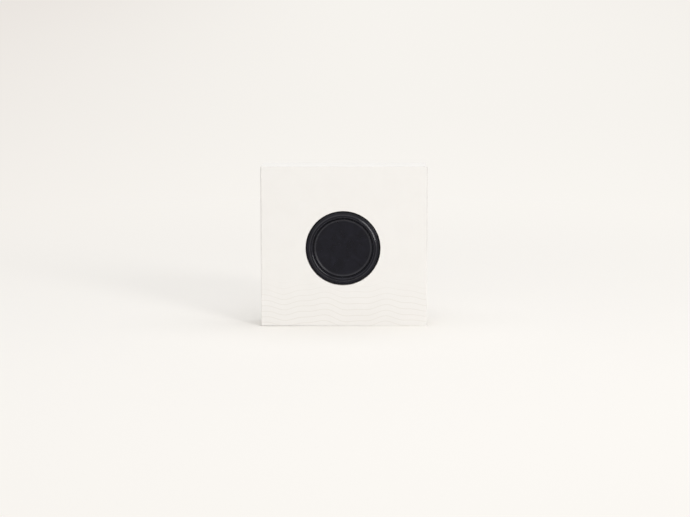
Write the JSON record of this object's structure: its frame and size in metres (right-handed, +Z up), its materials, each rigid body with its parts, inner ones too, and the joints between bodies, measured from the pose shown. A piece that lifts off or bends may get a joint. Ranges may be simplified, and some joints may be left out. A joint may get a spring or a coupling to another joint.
{
  "type": "magnetic soap holder in a carton",
  "caption": "Thin square white folding carton with a round front window, holding a black round magnetic soap holder flush in a card insert, with a toothed steel soap plate behind it.",
  "frame": {"origin": "centre of the carton's footprint, on the surface it stands on", "axes": "+Z up; the windowed front panel faces -Y, the back panel +Y; +X is to the right when looking at the front"},
  "size_m": [0.1, 0.022, 0.0967],
  "materials": {
    "white_board": "matte",
    "grey_board": "matte",
    "black_plastic": "satin",
    "nickel": "polished",
    "steel": "satin",
    "foam": "matte",
    "liner_paper": "satin"
  },
  "bodies": {
    "carton": {"carton_sleeve": "white_board", "insert_cradle": "grey_board"},
    "top_lid": {"top_lid_panel": "white_board"},
    "top_tuck": {"top_tuck_flap": "white_board"},
    "top_dust_left": {"top_dust_flap_left": "white_board"},
    "top_dust_right": {"top_dust_flap_right": "white_board"},
    "bottom_lid": {"bottom_lid_panel": "white_board"},
    "bottom_tuck": {"bottom_tuck_flap": "white_board"},
    "bottom_dust_left": {"bottom_dust_flap_left": "white_board"},
    "bottom_dust_right": {"bottom_dust_flap_right": "white_board"},
    "holder": {"holder_body": "black_plastic", "front_cap": "black_plastic", "magnet": "nickel", "rear_cover": "black_plastic", "adhesive_pad": "foam", "release_liner": "liner_paper"},
    "soap_plate": {"soap_plate": "steel"}
  },
  "joints": [
    {"name": "top_lid_hinge", "type": "hinge", "parent": "carton", "child": "top_lid", "pos_m": [0, 0.011, 0.09605], "axis": [-1, 0, 0], "range_deg": [0, 135]},
    {"name": "top_tuck_hinge", "type": "hinge", "parent": "top_lid", "child": "top_tuck", "pos_m": [0, -0.0095, 0.09605], "axis": [1, 0, 0], "range_deg": [0, 41]},
    {"name": "top_dust_left_hinge", "type": "hinge", "parent": "carton", "child": "top_dust_left", "pos_m": [-0.05, 0, 0.09525], "axis": [0, -1, 0], "range_deg": [0, 41]},
    {"name": "top_dust_right_hinge", "type": "hinge", "parent": "carton", "child": "top_dust_right", "pos_m": [0.05, 0, 0.09525], "axis": [0, 1, 0], "range_deg": [0, 41]},
    {"name": "bottom_lid_hinge", "type": "hinge", "parent": "carton", "child": "bottom_lid", "pos_m": [0, 0.011, 0.00065], "axis": [1, 0, 0], "range_deg": [0, 135]},
    {"name": "bottom_tuck_hinge", "type": "hinge", "parent": "bottom_lid", "child": "bottom_tuck", "pos_m": [0, -0.0095, 0.00065], "axis": [-1, 0, 0], "range_deg": [0, 41]},
    {"name": "bottom_dust_left_hinge", "type": "hinge", "parent": "carton", "child": "bottom_dust_left", "pos_m": [-0.05, 0, 0.00145], "axis": [0, 1, 0], "range_deg": [0, 41]},
    {"name": "bottom_dust_right_hinge", "type": "hinge", "parent": "carton", "child": "bottom_dust_right", "pos_m": [0.05, 0, 0.00145], "axis": [0, -1, 0], "range_deg": [0, 41]},
    {"name": "holder_pull", "type": "slide", "parent": "carton", "child": "holder", "axis": [0, -1, 0], "range_m": [0, 0.045]},
    {"name": "soap_plate_lift", "type": "slide", "parent": "holder", "child": "soap_plate", "axis": [0, 1, 0], "range_m": [0, 0.019]}
  ],
  "couplings": [
    {"joint": "top_tuck_hinge", "follows": "top_lid_hinge", "ratio": 0.3},
    {"joint": "top_dust_left_hinge", "follows": "top_lid_hinge", "ratio": 0.3},
    {"joint": "top_dust_right_hinge", "follows": "top_lid_hinge", "ratio": 0.3},
    {"joint": "bottom_tuck_hinge", "follows": "bottom_lid_hinge", "ratio": 0.3},
    {"joint": "bottom_dust_left_hinge", "follows": "bottom_lid_hinge", "ratio": 0.3},
    {"joint": "bottom_dust_right_hinge", "follows": "bottom_lid_hinge", "ratio": 0.3},
    {"joint": "soap_plate_lift", "follows": "holder_pull", "ratio": 0.4}
  ]
}
